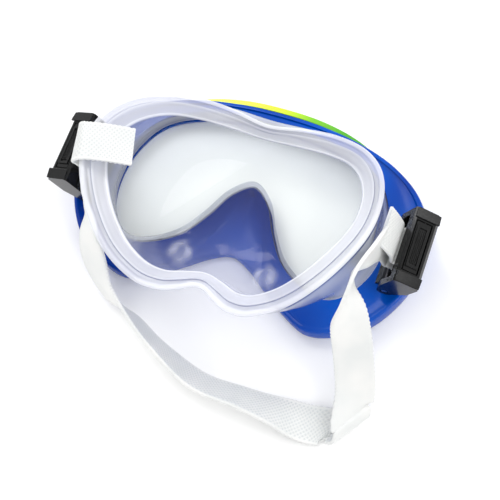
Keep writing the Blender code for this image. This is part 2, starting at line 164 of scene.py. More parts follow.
def limeAbs():
    # the brow strip is sprayed, from yellow into green across its length
    made, tree, shader, place = newMaterial("sprayedLimeAbs", IOR=1.54)
    x = addNode(tree, "ShaderNodeSeparateXYZ", {"Vector": place}).outputs["X"]
    along = addNode(tree, "ShaderNodeMapRange", {"Value": x, "From Min": -47.0, "From Max": 47.0})
    colour = colourRamp(
        tree, along.outputs["Result"], [(0.0, "e4f200"), (0.5, "d2ee05"), (0.66, "7cc81a"), (0.85, "4fae1e")]
    )
    tree.links.new(colour, shader.inputs["Base Color"])
    addGrain(tree, shader, place, 0.5, 0.02, (0.2, 0.32))
    return made


def seeThrough(tree, shader, tint, clearness, slant, gloss):
    # lets light straight through where the wall is thin and hides more at a slant. Inner faces hide nothing,
    # and only the outside is glossy
    facing = addNode(tree, "ShaderNodeLayerWeight", {"Blend": 0.4}).outputs["Facing"]
    inside = addNode(tree, "ShaderNodeNewGeometry").outputs["Backfacing"]
    thin = addNode(
        tree, "ShaderNodeMapRange", {"Value": facing, "From Min": 0.3, "To Min": 1.0, "To Max": slant}
    )
    share = addNode(tree, "ShaderNodeMath", {0: thin.outputs["Result"], 1: clearness}, operation="MULTIPLY")
    passed = addNode(tree, "ShaderNodeMath", {0: share.outputs["Value"], 1: inside}, operation="MAXIMUM")
    clear = addNode(tree, "ShaderNodeBsdfTransparent", {"Color": tint})
    body = addNode(
        tree, "ShaderNodeMixShader",
        {0: passed.outputs["Value"], 1: shader.outputs["BSDF"], 2: clear.outputs["BSDF"]},
    )
    fresnel = addNode(tree, "ShaderNodeFresnel", {"IOR": gloss[0]}).outputs["Fac"]
    outside = addNode(tree, "ShaderNodeMath", {0: 1.0, 1: inside}, operation="SUBTRACT")
    amount = addNode(tree, "ShaderNodeMath", {0: fresnel, 1: outside.outputs["Value"]}, operation="MULTIPLY")
    shine = addNode(tree, "ShaderNodeBsdfGlossy", {"Roughness": gloss[1]})
    whole = addNode(
        tree, "ShaderNodeMixShader",
        {0: amount.outputs["Value"], 1: body.outputs["Shader"], 2: shine.outputs["BSDF"]},
    )
    tree.links.new(whole.outputs["Shader"], tree.nodes["Material Output"].inputs["Surface"])
    return facing, shine


def clearPvc():
    # soft clear PVC: clear in the thin pocket, milkier in the flanges, with a faint violet cast and slow
    # mould waves. It is painted darker and greyer where it is seen at a slant and along its creases, as
    # painted shade, and it glows faintly, a painted glow that is no lamp
    # painted glow: the emission lightens the whole skirt as if light shone through it
    made, tree, shader, place = newMaterial(
        "clearSoftPvc", IOR=1.53, Roughness=0.3, Emission_Color=linear("f6f7ff"), Emission_Strength=0.1
    )
    clearness = addNode(tree, "ShaderNodeAttribute", attribute_name="clearness").outputs["Fac"]
    creaseShade = addNode(tree, "ShaderNodeAttribute", attribute_name="creaseShade").outputs["Fac"]
    facing, shine = seeThrough(tree, shader, linear("e9eaf0"), clearness, 0.3, (1.34, 0.08))
    # painted shade: the colour darkens to violet grey where the surface is seen at a slant, drawing dark
    # lines along its edges
    colour = colourRamp(tree, facing, [(0.25, "f0f1f6"), (0.6, "e2e5ef"), (0.85, "aab1ca"), (1.0, "68719a")])
    # painted shade: darker violet grey along the creases of the folds, the lips and the seat
    tree.links.new(mixColour(tree, creaseShade, colour, linear("5a648c")), shader.inputs["Base Color"])
    addGrain(tree, shader, place, 6.0, 0.4)
    tree.links.new(shader.inputs["Normal"].links[0].from_socket, shine.inputs["Normal"])
    return made


def temperedGlass():
    # float glass: flat and clear, green only where it is seen through its edge
    made, tree, shader = newMaterial("temperedGlass", Roughness=0.1, IOR=1.52)[:3]
    facing = seeThrough(tree, shader, linear("fdfefd"), 1.0, 0.7, (1.25, 0.02))[0]
    colour = colourRamp(tree, facing, [(0.3, "f2f7f4"), (0.9, "86a795")])
    tree.links.new(colour, shader.inputs["Base Color"])
    return made


def whitePvc():
    # opaque soft PVC: satin, with painted shade that greys the grooves of its hatching, and faint flow lines
    # from end to end
    made, tree, shader, place = newMaterial("whiteSoftPvc", IOR=1.53)
    along, across, grooveShade = (
        addNode(tree, "ShaderNodeAttribute", attribute_name=name).outputs["Fac"]
        for name in ("along", "across", "grooveShade")
    )
    colour = colourRamp(tree, addNoise(tree, place, 0.05, 2.0), [(0.35, "dcdedd"), (0.65, "e6e6e4")])
    # painted shade: the grooves are greyed by their depth
    tree.links.new(mixColour(tree, grooveShade, colour, linear("c6cacb")), shader.inputs["Base Color"])
    flat = addNode(tree, "ShaderNodeCombineXYZ", {"X": along, "Y": across})
    lines = addNode(tree, "ShaderNodeMapping", {"Vector": flat.outputs["Vector"], "Scale": (0.06, 2.0, 1)})
    flow = addNoise(tree, lines.outputs["Vector"], 1.0, 2.0)
    bump = addNode(tree, "ShaderNodeBump", {"Height": flow, "Strength": 0.2, "Distance": 0.06 * mm})
    tree.links.new(bump.outputs["Normal"], shader.inputs["Normal"])
    spreadRoughness(tree, shader, flow, (0.34, 0.46))
    return made


def blackAcetal():
    # moulded acetal: near black, semi-gloss, finely sparked skin
    made, tree, shader, place = newMaterial("blackAcetal", IOR=1.48, Specular_IOR_Level=0.35)
    tone = addNoise(tree, place, 0.2, 3.0)
    colour = colourRamp(tree, tone, [(0.3, "050506"), (0.7, "0e0f10")])
    tree.links.new(colour, shader.inputs["Base Color"])
    addGrain(tree, shader, place, 0.35, 0.03, (0.12, 0.24))
    return made


def stainlessSteel():
    # drawn wire, ground on its ends
    made, tree, shader, place = newMaterial("drawnStainlessSteel", Metallic=1.0)
    lines = addNode(tree, "ShaderNodeMapping", {"Vector": place, "Scale": (8, 0.4, 8)})
    streak = addNoise(tree, lines.outputs["Vector"], 1.0, 3.0)
    colour = colourRamp(tree, streak, [(0.3, "a9abae"), (0.7, "cdced0")])
    tree.links.new(colour, shader.inputs["Base Color"])
    spreadRoughness(tree, shader, streak, (0.2, 0.38))
    return made


finishes = {
    "frame_plastic": glossyAbs(),
    "trim_plastic": limeAbs(),
    "skirt_plastic": clearPvc(),
    "lens_glass": temperedGlass(),
    "strap_plastic": whitePvc(),
    "buckle_plastic": blackAcetal(),
    "pin_steel": stainlessSteel(),
}
print("materials made:", len(finishes))


# Lines and meshes, in millimetres until a piece is finished


def smoothLine(points, steps, closed=False):
    # Catmull-Rom through the points
    pts = np.array(points, float)
    count = len(pts)
    out = []
    for i in range(count if closed else count - 1):
        if closed:
            a, b, c, d = (pts[(i + k) % count] for k in (-1, 0, 1, 2))
        else:
            b, c = pts[i], pts[i + 1]
            a = pts[i - 1] if i else 2 * b - c
            d = pts[i + 2] if i + 2 < count else 2 * c - b
        for t in np.arange(steps) / steps:
            out.append(
                0.5 * (2 * b + (c - a) * t + (2 * a - 5 * b + 4 * c - d) * t**2
                       + (3 * b - a - 3 * c + d) * t**3)
            )
    if not closed:
        out.append(pts[-1])
    return np.array(out)


def wholeLine(half, steps, mirrored=True):
    # the closed line from its half, which runs from the brow round the wearer's right to the nose
    half = np.array(half, float)
    other = half[-2:0:-1].copy()
    if mirrored:
        other[:, 0] *= -1
    return smoothLine(np.vstack([half, other]), steps, closed=True)


def outwards(line, distance):
    # plan positions moved outwards by a distance, or by one for each point
    along = np.roll(line[:, :2], -1, axis=0) - np.roll(line[:, :2], 1, axis=0)
    along /= np.linalg.norm(along, axis=1)[:, None]
    return line[:, :2] + np.reshape(distance, (-1, 1)) * np.column_stack([-along[:, 1], along[:, 0]])


def lift(plan, height):
    return np.column_stack([plan, np.broadcast_to(height, len(plan))])


def skin(lines, across=True, along=True, marks=None):
    # a grid laid over rows of points: across closes each row, along joins the last row to the first.
    # Marks give values to every point, by name, as one value or one list of values for each row
    rows = [np.vstack([row, row[:1]]) if across else np.array(row) for row in lines]
    if along:
        rows.append(rows[0])
    bm = bmesh.new()
    bmesh.ops.create_grid(bm, x_segments=len(rows[0]) - 1, y_segments=len(rows) - 1, size=1)
    layers = {name: bm.verts.layers.float.new(name) for name in marks or {}}
    for vert in bm.verts:
        column = round((vert.co.x + 1) / 2 * (len(rows[0]) - 1))
        row = round((vert.co.y + 1) / 2 * (len(rows) - 1))
        vert.co = rows[row][column]
        for name, layer in layers.items():
            values = np.atleast_1d(marks[name][row % len(lines)])
            vert[layer] = float(values[column % len(values)])
    bmesh.ops.remove_doubles(bm, verts=bm.verts, dist=0.0005)
    if not along:
        bmesh.ops.holes_fill(bm, edges=bm.edges, sides=0)
    bmesh.ops.recalc_face_normals(bm, faces=bm.faces)
    return bm


def finishPiece(name, bm, slot, body, replaced=(), sharp=35, bevel=0.0, rings=2):
    # the mesh goes in place and in metres, with its finish, the body it rides on and the nodes it stands for
    bmesh.ops.transform(bm, matrix=Matrix.Scale(mm, 4), verts=bm.verts)
    mesh = bpy.data.meshes.new(name)
    bm.to_mesh(mesh)
    bm.free()
    mesh.materials.append(finishes[slot])
    mesh.shade_smooth()
    mesh.set_sharp_from_angle(angle=math.radians(sharp))
    piece = bpy.data.objects.new(name, mesh)
    bpy.context.scene.collection.objects.link(piece)
    if bevel:
        edge = piece.modifiers.new("softEdges", "BEVEL")
        edge.width, edge.segments, edge.limit_method = bevel * mm, rings, "ANGLE"
        edge.angle_limit = math.radians(sharp)
        edge.harden_normals = True
    if body:
        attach(piece, body)
    if replaced:
        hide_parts(*replaced)
    return piece


# The lines that the rigid pieces and the skirt share
outline = {
    "steps": 12,  # stations between neighbouring points
    "sight": (
        (0, 45.5), (22, 44.5), (42, 40), (57, 31), (65.5, 16), (68, 0), (66, -14),
        (59, -26), (50, -31), (39, -28.5), (27, -20.5), (18.2, -8), (10.8, 5.5), (0, 13.2),
    ),
    "rim": (
        (0, 54), (22, 53), (44, 49), (64, 41), (80, 28), (90, 8), (88, -14),
        (77, -35), (62, -46), (47, -50), (33, -44), (21, -36), (10, -28), (0, -24),
    ),
    "edgeTop": 10.6,
}
sight = wholeLine(outline["sight"], outline["steps"])
rim = wholeLine(outline["rim"], outline["steps"])

frameShell = {
    "lensEdge": 2.2,
    "shoulder": 5.2,
    "wall": 2.2,
    # heights of the face side above the bezel, half way to the rim, and at the rim
    "near": (10.4, 10.4, 10.4, 10.5, 10.8, 11.0, 10.8, 10.5, 10.0, 9.0, 8.0, 7.2, 6.6, 6.0),
    "far": (10.2, 10.2, 10.2, 10.6, 11.4, 11.8, 11.6, 10.8, 10.0, 8.5, 6.2, 4.4, 3.4, 2.8),
    "rimTop": (11.0, 11.0, 11.2, 12.0, 13.0, 13.5, 13.0, 12.0, 10.5, 8.5, 6.5, 5.0, 4.0, 3.6),
    "share": (0.5,) * 10 + (0.48, 0.44, 0.38, 0.34),
    # between the shoulder and the middle, and between the middle and the rim: how far out, how much of the
    # outer height, and how far the surface sags
    "innerDish": (0.6, 0.5, 0.3),
    "outerDish": (0.55, 0.45, 0.2),
    "rimRound": ((2.4, 0.15), (1.3, 0.0), (0.4, 0.35), (0.0, 1.1)),  # in from the rim, and below its top
    "rimFoot": 0.7,
    "rimThicker": 0.6,
    "land": ((-3.2, -17), (3.2, -17), (3.2, 3.5), (-3.2, 3.5)),
    "landHeight": 1.7,
}


def heights(values):
    half = np.array(values, float)[:, None]
    return wholeLine(half, outline["steps"], mirrored=False)[:, 0]


def makeFrame():
    values = frameShell
    near, far, top = (heights(values[key]) for key in ("near", "far", "rimTop"))
    share = heights(values["share"])[:, None]
    shoulder = outwards(sight, values["shoulder"])
    middle = shoulder * (1 - share) + rim * share
    edge, wall = outline["edgeTop"], values["wall"]
    inner = outwards(sight, values["lensEdge"])
    inset = outwards(rim, -wall)
    foot = values["rimFoot"]

    def dished(nearLine, farLine, low, high, dish):
        out, share, sag = dish
        return lift(farLine * out + nearLine * (1 - out), high * share + low * (1 - share) - sag)

    lines = [
        lift(inner, edge), lift(shoulder, near), dished(shoulder, middle, near, far, values["innerDish"]),
        lift(middle, far), dished(middle, rim, far, top, values["outerDish"]),
        *[lift(outwards(rim, -inwards), top - drop) for inwards, drop in values["rimRound"]],
        lift(rim, foot), lift(outwards(rim, -foot), 0), lift(inset, 0),
        lift(inset, top - wall - values["rimThicker"]), lift(middle, far - wall), lift(shoulder, near - wall),
        lift(inner, edge - wall),
    ]
    finishPiece("frameShell", skin(lines), "frame_plastic", "root", ["frame"], bevel=0.25)
    bm = bmesh.new()
    face = bm.faces.new([bm.verts.new((x, y, 0.0)) for x, y in values["land"]])
    made = bmesh.ops.extrude_face_region(bm, geom=[face])
    risen = [v for v in made["geom"] if isinstance(v, bmesh.types.BMVert)]
    bmesh.ops.translate(bm, verts=risen, vec=(0, 0, values["landHeight"]))
    bmesh.ops.recalc_face_normals(bm, faces=bm.faces)
    finishPiece("frontLand", bm, "frame_plastic", "root", bevel=0.3)


makeFrame()
print("frame made")

bezelRing = {
    # its section, as distances out from the sight line and heights: inner edge, flat front, outer edge, back
    "section": (
        (1.2, 1.0), (1.55, 0.45), (2.3, 0.0), (3.7, 0.0), (4.4, 0.25), (4.6, 0.8), (4.6, 2.1), (1.2, 2.1),
    ),
}


def makeBezel():
    lines = [lift(outwards(sight, out), height) for out, height in bezelRing["section"]]
    finishPiece("bezelRing", skin(lines), "frame_plastic", "root", ["front_bezel"])


makeBezel()

lensPlate = {"rebate": 2.5, "front": 2.5, "thick": 3.5, "chamfer": 0.4}


def makeLens():
    values = lensPlate
    edge = outwards(sight, values["rebate"])
    bm = bmesh.new()
    bmesh.ops.create_circle(bm, cap_ends=True, segments=len(edge), radius=1)
    for vert, (x, y) in zip(bm.verts, edge):
        vert.co = (x, y, values["front"])
    made = bmesh.ops.extrude_face_region(bm, geom=list(bm.faces))
    risen = [v for v in made["geom"] if isinstance(v, bmesh.types.BMVert)]
    bmesh.ops.translate(bm, verts=risen, vec=(0, 0, values["thick"]))
    bmesh.ops.recalc_face_normals(bm, faces=bm.faces)
    finishPiece("lensPlate", bm, "lens_glass", "root", ["lens"], bevel=values["chamfer"], rings=1)


makeLens()
print("lens and bezel made")

browStrip = {
    "gap": 0.35,
    "thick": 3.0,
    "halfSpan": 47.0,
    "low": 1.2,
    "high": 9.8,
    "columns": 90,
    # towards the ends the lower edge rises, the upper edge falls and the strip thins, by this share
    "lowRise": 2.4,
    "highDrop": 2.2,
    "thinning": 0.8,
    "arc": (-80, 80, 11),  # the rounded face: from and to in degrees, and rows
    "edgeShare": 0.8,  # how much of its thickness the strip keeps at its edges
}


def makeBrowStrip():
    values = browStrip
    near, far = outwards(rim, values["gap"]), outwards(rim, values["gap"] + values["thick"])
    top = np.where(rim[:, 1] > 0)[0]
    order = top[np.argsort(rim[top, 0])]
    span = np.linspace(-1, 1, values["columns"])
    rows = []
    for share in span:
        x = share * values["halfSpan"]
        inside, outside = (
            np.array([np.interp(x, rim[order, 0], line[order, k]) for k in (0, 1)]) for line in (near, far)
        )
        s = abs(share)
        low, high = values["low"] + values["lowRise"] * s**2, values["high"] - values["highDrop"] * s**2
        crown = inside + (outside - inside) * (1 - values["thinning"] * s**3)
        row = [(*inside, low)]
        for angle in np.linspace(*values["arc"]):
            lean = math.radians(angle)
            depth = values["edgeShare"] + (1 - values["edgeShare"]) * math.cos(lean) ** 0.5
            z = (low + high) / 2 + (high - low) / 2 * math.sin(lean)
            row.append((*(inside + (crown - inside) * depth), z))
        row.append((*inside, high))
        rows.append(row)
    finishPiece("browStrip", skin(rows, along=False), "trim_plastic", "root", ["brow_trim"], sharp=50)


makeBrowStrip()
print("brow strip made")

skirt = {
    "wall": 2.0,
    "base": 6.35,
    "bead": 1.7,  # the bead that the frame clamps: how high it is, how far out it reaches, and its rounding
    "beadReach": 2.5,
    "beadRound": 0.8,
    "clearance": 0.35,
    # where the outer and the inner wall start, out from the sight line, and where they end, in from the fold
    # and below it
    "wallStarts": (1.6, -0.2),
    "wallEnds": ((0.0, 1.6), (3.2, 2.4)),
    "sectionSteps": 4,
    "fold": (
        (0, 37, 30.5), (18, 39.5, 31.5), (35, 38.5, 36), (51, 32, 44), (62.5, 19, 55),
        (68, 2, 63.5), (67, -17, 67), (57.5, -37, 64), (43.5, -53, 58), (28, -61, 52),
        (17, -61, 47), (9, -57.5, 44), (4, -54.5, 43), (0, -53.5, 43),
    ),
    "lip": (
        (0, 32, 24.5), (17, 32.5, 25.5), (33, 31, 29.5), (46, 25.5, 37.5), (55, 14, 48),
        (59, 0, 56), (57.5, -14, 59), (49, -31, 58), (38, -44, 53), (27, -50.5, 48),
        (18, -51, 43), (10, -48, 40), (4, -46, 39), (0, -45.5, 39),
    ),
    "lowWall": (
        (0, 45.5, 15), (21, 44.5, 15), (40.5, 39.8, 16), (55.5, 31, 17), (64.5, 16.5, 20), (67.3, 0, 22),
        (66, -15, 22), (59.5, -28, 22), (51, -36, 20), (40, -37, 18), (27.5, -33, 14), (19, -30, 12),
        (9.5, -29.5, 11.2), (0, -29, 11),
    ),
    "highWall": (
        (0, 43, 23), (20, 43.5, 23.5), (38, 39.8, 26), (53.5, 31.5, 31), (63.5, 17.5, 38), (67.6, 1, 43),
        (67, -16, 45), (59, -33, 44), (48, -46, 39), (35, -51, 34), (24, -50.5, 29), (15.5, -48, 24),
        (7.5, -45.5, 21), (0, -44.5, 20),
    ),
    "floorRise": (0,) * 8 + (0.3, 1.0, 1.7, 2.0, 2.0, 2.0),
    # rows round the fold, in from it and below it, with the painted shade on their crease
    "foldEdge": (
        (-0.35, 0.9, 0.5), (-0.3, 0.25, 0.0), (0.15, -0.3, 0.0), (0.9, -0.45, 0.0), (1.8, -0.1, 0.0),
    ),
    # the flange, from share to share of the way between the fold and the inner lip
    "bulge": 2.0,
    "flange": (0.26, 0.94),
    # the second lip: where its edge lies on the flange, and how far it stands up
    "secondLip": 0.42,
    "secondLipStep": 1.0,
    # its edge: shares beyond it, shares of its height, clearness and the painted shade on its crease
    "stepEdge": ((0.015, 0.1, 0.3, 1.0), (0.03, 1.0, 0.3, 0.6), (0.07, 1.15, 0.4, 0.0)),
    "stepEnd": 0.16,
    # rows round the inner lip, as shares of the flange and heights above it, with the painted shade on their
    # crease
    "lipEdge": (
        (0.985, 0.3, 0.0), (1.03, 0.2, 0.0), (1.06, -0.35, 0.6), (1.02, -0.95, 0.0), (0.94, -1.2, 0.0),
    ),
    "underside": (0.8, 0.62),
    "flangeThick": 1.35,
    # painted shade along the two rows where the skirt sits on the frame
    "seatCreaseShades": (1.0, 0.6),
    # how clear each part is. The walls lose some of it towards the fold
    "clear": {
        "bead": 0.9, "wall": 0.98, "wallLoss": 0.3, "fold": 0.4, "outerFlange": 0.55, "innerFlange": 0.5,
        "lip": 0.25, "underside": 0.6, "seat": 0.5,
    },
    # finger dimples beside the nose. Each clouds the plastic round its slope
    "dimples": {
        "centre": (22.0, -34.0, 15.5), "radius": 7.5, "depth": 2.8, "push": (-0.35, 0.7, 0.62), "cloud": 0.35,
    },
}


def makeSkirt():
    values, clear = skirt, skirt["clear"]
    fold, lip, low, high = (
        wholeLine(values[key], outline["steps"]) for key in ("fold", "lip", "lowWall", "highWall")
    )
    rise = heights(values["floorRise"])
    wall, base = values["wall"], values["base"]
    bead = base + values["bead"]
    top = outline["edgeTop"] + values["clearance"]
    rows = []

    def inside(line, distance, drop=0.0):
        return np.column_stack([outwards(line, -distance), line[:, 2] - drop])

    def acrossFlange(share, up=0.0):
        bulge = values["bulge"] * share * (1 - share)
        return fold * (1 - share) + lip * share + [0, 0, bulge + up]

    def add(line, clearness, creaseShade=0.0):
        rows.append((line, clearness, creaseShade))

    def addWall(stations, start, end):
        lines = smoothLine(stations, values["sectionSteps"])
        for line, share in zip(lines, np.linspace(start, end, len(lines))):
            add(line, clear["wall"] - clear["wallLoss"] * share**2)

    starts, ends = values["wallStarts"], values["wallEnds"]
    outerWall = [lift(outwards(sight, starts[0]), top), low, high, inside(fold, *ends[0])]
    innerWall = [
        inside(fold, *ends[1]), inside(high, wall), inside(low, wall, -rise),
        lift(outwards(sight, starts[1]), top + rise),
    ]
    reach, rounding = values["beadReach"], values["beadRound"]
    for out, height in ((reach, base), (reach, bead - rounding), (reach - rounding, bead)):
        add(lift(outwards(sight, out), height), clear["bead"])
    addWall(outerWall, 0, 1)
    for shift, drop, creaseShade in values["foldEdge"]:
        add(inside(fold, shift, drop), clear["fold"], creaseShade)
    (start, end), ledge, step = values["flange"], values["secondLip"], values["secondLipStep"]
    for share in np.linspace(start, ledge, 4):
        add(acrossFlange(share), clear["outerFlange"])
    for beyond, up, clearness, creaseShade in values["stepEdge"]:
        add(acrossFlange(ledge + beyond, step * up), clearness, creaseShade)
    for share in np.linspace(ledge + values["stepEnd"], end, 5):
        add(acrossFlange(share, step * (1 - share)), clear["innerFlange"])
    for share, up, creaseShade in values["lipEdge"]:
        add(acrossFlange(share, up), clear["lip"], creaseShade)
    for share in values["underside"]:
        add(acrossFlange(share, -values["flangeThick"]), clear["underside"])
    addWall(innerWall, 1, 0)
    for height, creaseShade in zip((bead, base), values["seatCreaseShades"]):
        add(lift(sight, height), clear["seat"], creaseShade)
    marks = {"clearness": [row[1] for row in rows], "creaseShade": [row[2] for row in rows]}
    bm = skin([row[0] for row in rows], marks=marks)
    addDimples(bm)
    finishPiece("softSkirt", bm, "skirt_plastic", "root", ["skirt"], sharp=50)


def addDimples(bm):
    values = skirt["dimples"]
    clearness = bm.verts.layers.float["clearness"]
    for side in (-1, 1):
        centre, push = (Vector((side * x, y, z)) for x, y, z in (values["centre"], values["push"]))
        for vert in bm.verts:
            share = (vert.co - centre).length / values["radius"]
            if share < 1:
                vert.co += push * values["depth"] * (1 - share**2) ** 2
                vert[clearness] *= 1 - values["cloud"] * math.sin(math.pi * share) ** 2


makeSkirt()
print("skirt made")

# The strap, in the same lie as its solid: points on its middle line, each with the direction of its width
strap = {
    "width": 18.0,
    "thick": 1.6,
    "steps": 12,  # stations between neighbouring points
    "cell": 0.36,  # mesh spacing along the strap
    "hatchColumns": 50,
    "backColumns": 9,
    "edgeRound": 0.25,
    "backRound": 0.3,
    "margin": 0.8,  # smooth edge of the head side, and the width over which the hatching fades in
    "fade": 0.6,
    "proud": 0.05,
    "diamond": 2.1,  # spacing of the hatching on the head side
    "relief": 0.35,
    "teeth": 0.16,  # how far the ends of the hatching stand out of the edges
    "rightTail": (
        ((71.8, -5.0, 55.0), (0, 1, 0.1)), ((74.5, -4.5, 47.5), (0, 1, 0.05)),
        ((76.9, -4.0, 39.0), (0, 1, 0)),
    ),
    "rightFall": (
        ((72.7, -5.5, 36), (0.05, 1, 0.1)), ((72.0, -11, 48), (0.1, 0.85, 0.5)),
        ((70.2, -20, 58), (0.13, 0.35, 0.92)), ((66.4, -30, 61), (0.18, -0.1, 0.95)),
        ((65.9, -39, 55.5), (-0.05, -0.4, 0.85)), ((68.9, -47.5, 45), (-0.72, -0.32, 0.6)),
        ((73.4, -57, 30), (-0.93, -0.33, 0.2)), ((78.5, -70, 16), (-0.93, -0.36, 0.05)),
    ),
    "loop": (
        ((61, -89.8, 2.4), (0, -1, 0.05)), ((44.4, -89.5, 6.5), (0, -0.81, 0.59)),
        ((28, -89, 7.8), (0, -0.66, 0.75)), ((6.5, -88, 8.3), (-0.12, -0.58, 0.81)),
        ((-17.5, -78.5, 9.4), (-0.19, -0.32, 0.93)), ((-34.9, -68.7, 10.2), (-0.1, -0.16, 0.98)),
        ((-49.2, -61.8, 13), (0.19, 0.22, 0.95)), ((-58.3, -51.7, 20), (0.58, 0.26, 0.77)),
        ((-62, -43.5, 27.5), (0.56, 0.2, 0.79)), ((-62.8, -35.5, 36.5), (0.4, 0, 0.9)),
        ((-67.3, -27, 45), (0.2, -0.05, 0.97)), ((-70.8, -17, 47.5), (0.1, 0.5, 0.86)),
        ((-72.3, -9, 42), (0.06, 0.93, 0.35)), ((-72.6, -5, 34), (0.03, 1, 0.05)),
    ),
    "leftTail": (
        ((-76.6, -5.0, 39.0), (0, 1, 0)), ((-75.0, -8.0, 51.0), (-0.1, 1, 0)),
        ((-72.6, -11.2, 62.5), (-0.2, 1, 0)), ((-67.0, -12.0, 69.8), (-0.3, 1, 0.05)),
        ((-58.0, -9.0, 67.2), (-0.28, 1, 0.05)), ((-46.5, -5.6, 62.5), (-0.2, 1, 0)),
    ),
    "corner": {"at": (80.0, -80.5), "radius": 4.2, "axis": (-0.58, -0.81), "lead": 0.6, "low": 0.5},
    "turnRadius": 4.15,
    "leads": (2.0, 4.0, 6.0),  # straight off the roller, on both sides of it
}
# The buckles: their swivel axis, tilt and the roller's place along them
buckle = {"hinge": (77.0, -4.0, 17.0), "tilt": 66.0, "rollerAt": 10.0}


def bucklePoint(along, through, side):
    x, y, z = buckle["hinge"]
    run, rise = math.cos(math.radians(buckle["tilt"])), math.sin(math.radians(buckle["tilt"]))
    return (side * (x + along * run - through * rise), y, z + along * rise + through * run)


def roundRoller(side, start, end):
    radius, middle = strap["turnRadius"], buckle["rollerAt"]
    angles = np.radians(np.linspace(start, end, 9))
    turn = [(middle + radius * math.cos(a), radius * math.sin(a)) for a in angles]
    leadIn = [(turn[0][0], rise) for rise in reversed(strap["leads"])]
    leadOut = [(turn[-1][0], rise) for rise in strap["leads"]]
    return [(bucklePoint(s, t, side), (0, 1, 0)) for s, t in leadIn + turn + leadOut]


def rolledCorner():
    # the strap turns over on itself here. The fourth value keeps its width slanted to its run
    values = strap["corner"]
    axis = Vector((*values["axis"], 0)).normalized()
    sideways = Vector((-axis.y, axis.x, 0))
    middle = Vector((*values["at"], values["radius"] + strap["thick"] / 2 + values["low"]))
    points = []
    for angle in np.linspace(0, math.pi, 7):
        out = Vector((0, 0, math.cos(angle))) + sideways * math.sin(angle)
        centre = middle + (out + axis * (values["lead"] * angle)) * values["radius"]
        points.append((tuple(centre), (*axis, 1)))
    return points


def strapStations():
    # evenly spaced points along the strap, with unit run, width and thickness directions
    stations = [
        *strap["rightTail"], *roundRoller(1, 0, -180), *strap["rightFall"], *rolledCorner(), *strap["loop"],
        *roundRoller(-1, 180, 360), *strap["leftTail"],
    ]
    centres = smoothLine([p for p, _ in stations], strap["steps"])
    widths = smoothLine([(*w, 0)[:4] for _, w in stations], strap["steps"])
    far = np.concatenate([[0], np.cumsum(np.linalg.norm(np.diff(centres, axis=0), axis=1))])
    even = np.linspace(0, far[-1], round(far[-1] / strap["cell"]) + 1)
    centres = np.column_stack([np.interp(even, far, centres[:, k]) for k in range(3)])
    widths = np.column_stack([np.interp(even, far, widths[:, k]) for k in range(4)])
    run = np.gradient(centres, axis=0)
    run /= np.linalg.norm(run, axis=1)[:, None]
    slant = run * np.sum(run * widths[:, :3], axis=1)[:, None]
    across = widths[:, :3] - slant
    size = np.linalg.norm(across, axis=1)[:, None]
    through = np.cross(run, across / size)
    return even, centres, (across + slant * widths[:, 3:]) / size, through


def strapHalf(name, stations, first, last):
    # one half of the strap. Its head side has diamond hatching cut into it, and its edges are slightly round
    even, centres, widths, through = (part[first:last] for part in stations)
    half, thick = strap["width"] / 2, strap["thick"] / 2
    top, bottom = half - strap["edgeRound"], half - strap["backRound"]
    hatched = np.linspace(-top, top, strap["hatchColumns"])
    back = np.linspace(bottom, -bottom, strap["backColumns"])
    shoulder = thick - strap["edgeRound"]
    phase = 2 * math.pi / strap["diamond"]
    rows, grooveShades, acrosses = [], [], []
    for far, centre, width, up in zip(even, centres, widths, through):
        ridges = np.maximum(np.cos((far + hatched) * phase), np.cos((far - hatched) * phase))
        plain = np.clip((half - strap["margin"] - np.abs(hatched)) / strap["fade"], 0, 1)
        depth = plain * (1 - ridges) / 2
        tops = thick + strap["proud"] - strap["relief"] * depth
        edge = half + strap["teeth"] * math.cos(far * phase)
        row = [centre + width * v + up * t for v, t in zip(hatched, tops)]
        row += [centre + width * edge + up * t for t in (shoulder, -shoulder)]
        row += [centre + width * v - up * thick for v in back]
        row += [centre - width * edge + up * t for t in (-shoulder, shoulder)]
        rows.append(row)
        # the groove depth also paints shade into the grooves
        grooveShades.append([*depth, *[0.0] * (len(row) - len(depth))])
        acrosses.append([*hatched, half, half, *back, -half, -half])
    marks = {"along": even, "across": acrosses, "grooveShade": grooveShades}
    return finishPiece(name, skin(rows, along=False, marks=marks), "strap_plastic", None, ["strap"], sharp=60)


stations = strapStations()
middleOfStrap = len(stations[0]) // 2
rightStrap = strapHalf("strapRight", stations, 0, middleOfStrap + 1)
leftStrap = strapHalf("strapLeft", stations, middleOfStrap, len(stations[0]))
for piece, side, name in ((rightStrap, 1, "right"), (leftStrap, -1, "left")):
    # moves with the mask up to the start, with the buckle from the end, and bends between them
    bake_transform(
        piece, "root", f"{name}_buckle",
        start=(side * 0.074, -0.008, 0.0492), end=(side * 0.0828, -0.004, 0.0426),
    )
print("strap made, length in mm:", round(float(stations[0][-1])))


def fromSolid(node, name, slot, body, bevel):
    # a copy of a solid with its triangles joined up, so that its edges can be rounded
    bm = bmesh.new()
    bm.from_mesh(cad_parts[node].data)
    bmesh.ops.remove_doubles(bm, verts=bm.verts, dist=1e-6)
    bmesh.ops.dissolve_limit(bm, angle_limit=math.radians(0.5), verts=bm.verts, edges=bm.edges)
    bmesh.ops.transform(bm, matrix=Matrix.Scale(1 / mm, 4), verts=bm.verts)
    return finishPiece(name, bm, slot, body, [node], sharp=30, bevel=bevel)


